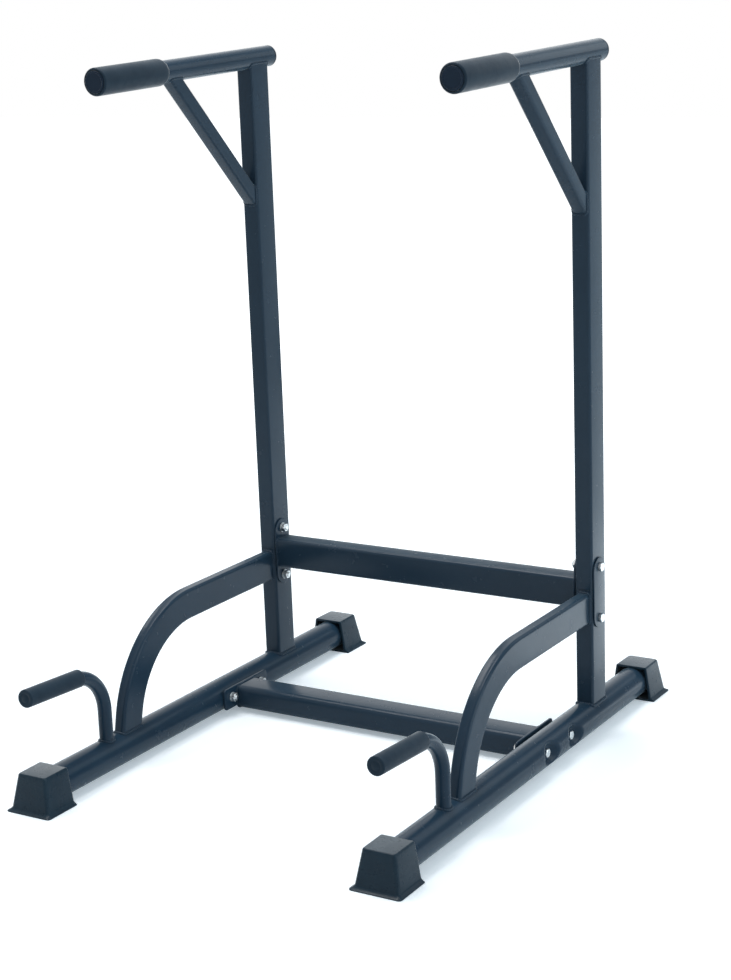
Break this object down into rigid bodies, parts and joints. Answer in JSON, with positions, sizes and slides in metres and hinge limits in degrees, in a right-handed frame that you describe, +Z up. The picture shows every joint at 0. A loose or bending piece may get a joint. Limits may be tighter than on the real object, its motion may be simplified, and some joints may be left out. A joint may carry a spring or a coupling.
{
  "type": "dip station",
  "caption": "Free-standing dip station: round floor tubes, tall uprights, curved braces, gripped dip bars, low push-up handles, bolted crossbars, flared rubber feet.",
  "frame": {"origin": "on the floor, in the middle of the footprint's bounding box", "axes": "+X across, from the left side frame to the right one as a user standing in the station sees them; +Y from the front, where the grips and handles point, to the rear, where the uprights stand; +Z up"},
  "size_m": [0.683, 0.913, 1.0898],
  "materials": {
    "powder_coat": "satin powder coat, dark blue-grey",
    "foot_rubber": "matte moulded rubber",
    "grip_rubber": "soft matte grip sleeve",
    "cap_plastic": "matte moulded plastic",
    "zinc": "bright zinc plate"
  },
  "bodies": {
    "root": {"left_base_tube": "powder_coat", "left_lower_upright": "powder_coat", "left_upper_upright": "powder_coat", "left_curved_brace": "powder_coat", "left_diagonal_brace": "powder_coat", "left_dip_bar": "powder_coat", "left_push_up_handle": "powder_coat", "left_crossbar_plate": "powder_coat", "left_floor_plate": "powder_coat", "left_rear_foot": "foot_rubber", "left_front_foot": "foot_rubber", "left_dip_grip": "grip_rubber", "left_push_up_grip": "grip_rubber", "left_dip_end_cap": "cap_plastic", "left_rear_cap": "cap_plastic", "left_lower_joint_bolt": "zinc", "left_lower_joint_washer": "zinc", "left_lower_joint_nut": "zinc", "left_upper_joint_bolt": "zinc", "left_upper_joint_washer": "zinc", "left_upper_joint_nut": "zinc", "left_front_floor_bolt": "zinc", "left_front_floor_washer": "zinc", "left_front_floor_nut": "zinc", "left_rear_floor_bolt": "zinc", "left_rear_floor_washer": "zinc", "left_rear_floor_nut": "zinc", "right_base_tube": "powder_coat", "right_lower_upright": "powder_coat", "right_upper_upright": "powder_coat", "right_curved_brace": "powder_coat", "right_diagonal_brace": "powder_coat", "right_dip_bar": "powder_coat", "right_push_up_handle": "powder_coat", "right_crossbar_plate": "powder_coat", "right_floor_plate": "powder_coat", "right_rear_foot": "foot_rubber", "right_front_foot": "foot_rubber", "right_dip_grip": "grip_rubber", "right_push_up_grip": "grip_rubber", "right_dip_end_cap": "cap_plastic", "right_rear_cap": "cap_plastic", "right_lower_joint_bolt": "zinc", "right_lower_joint_washer": "zinc", "right_lower_joint_nut": "zinc", "right_upper_joint_bolt": "zinc", "right_upper_joint_washer": "zinc", "right_upper_joint_nut": "zinc", "right_front_floor_bolt": "zinc", "right_front_floor_washer": "zinc", "right_front_floor_nut": "zinc", "right_rear_floor_bolt": "zinc", "right_rear_floor_washer": "zinc", "right_rear_floor_nut": "zinc", "right_backing_plate": "powder_coat", "upper_crossbar": "powder_coat", "lower_crossbar": "powder_coat"}
  },
  "joints": []
}
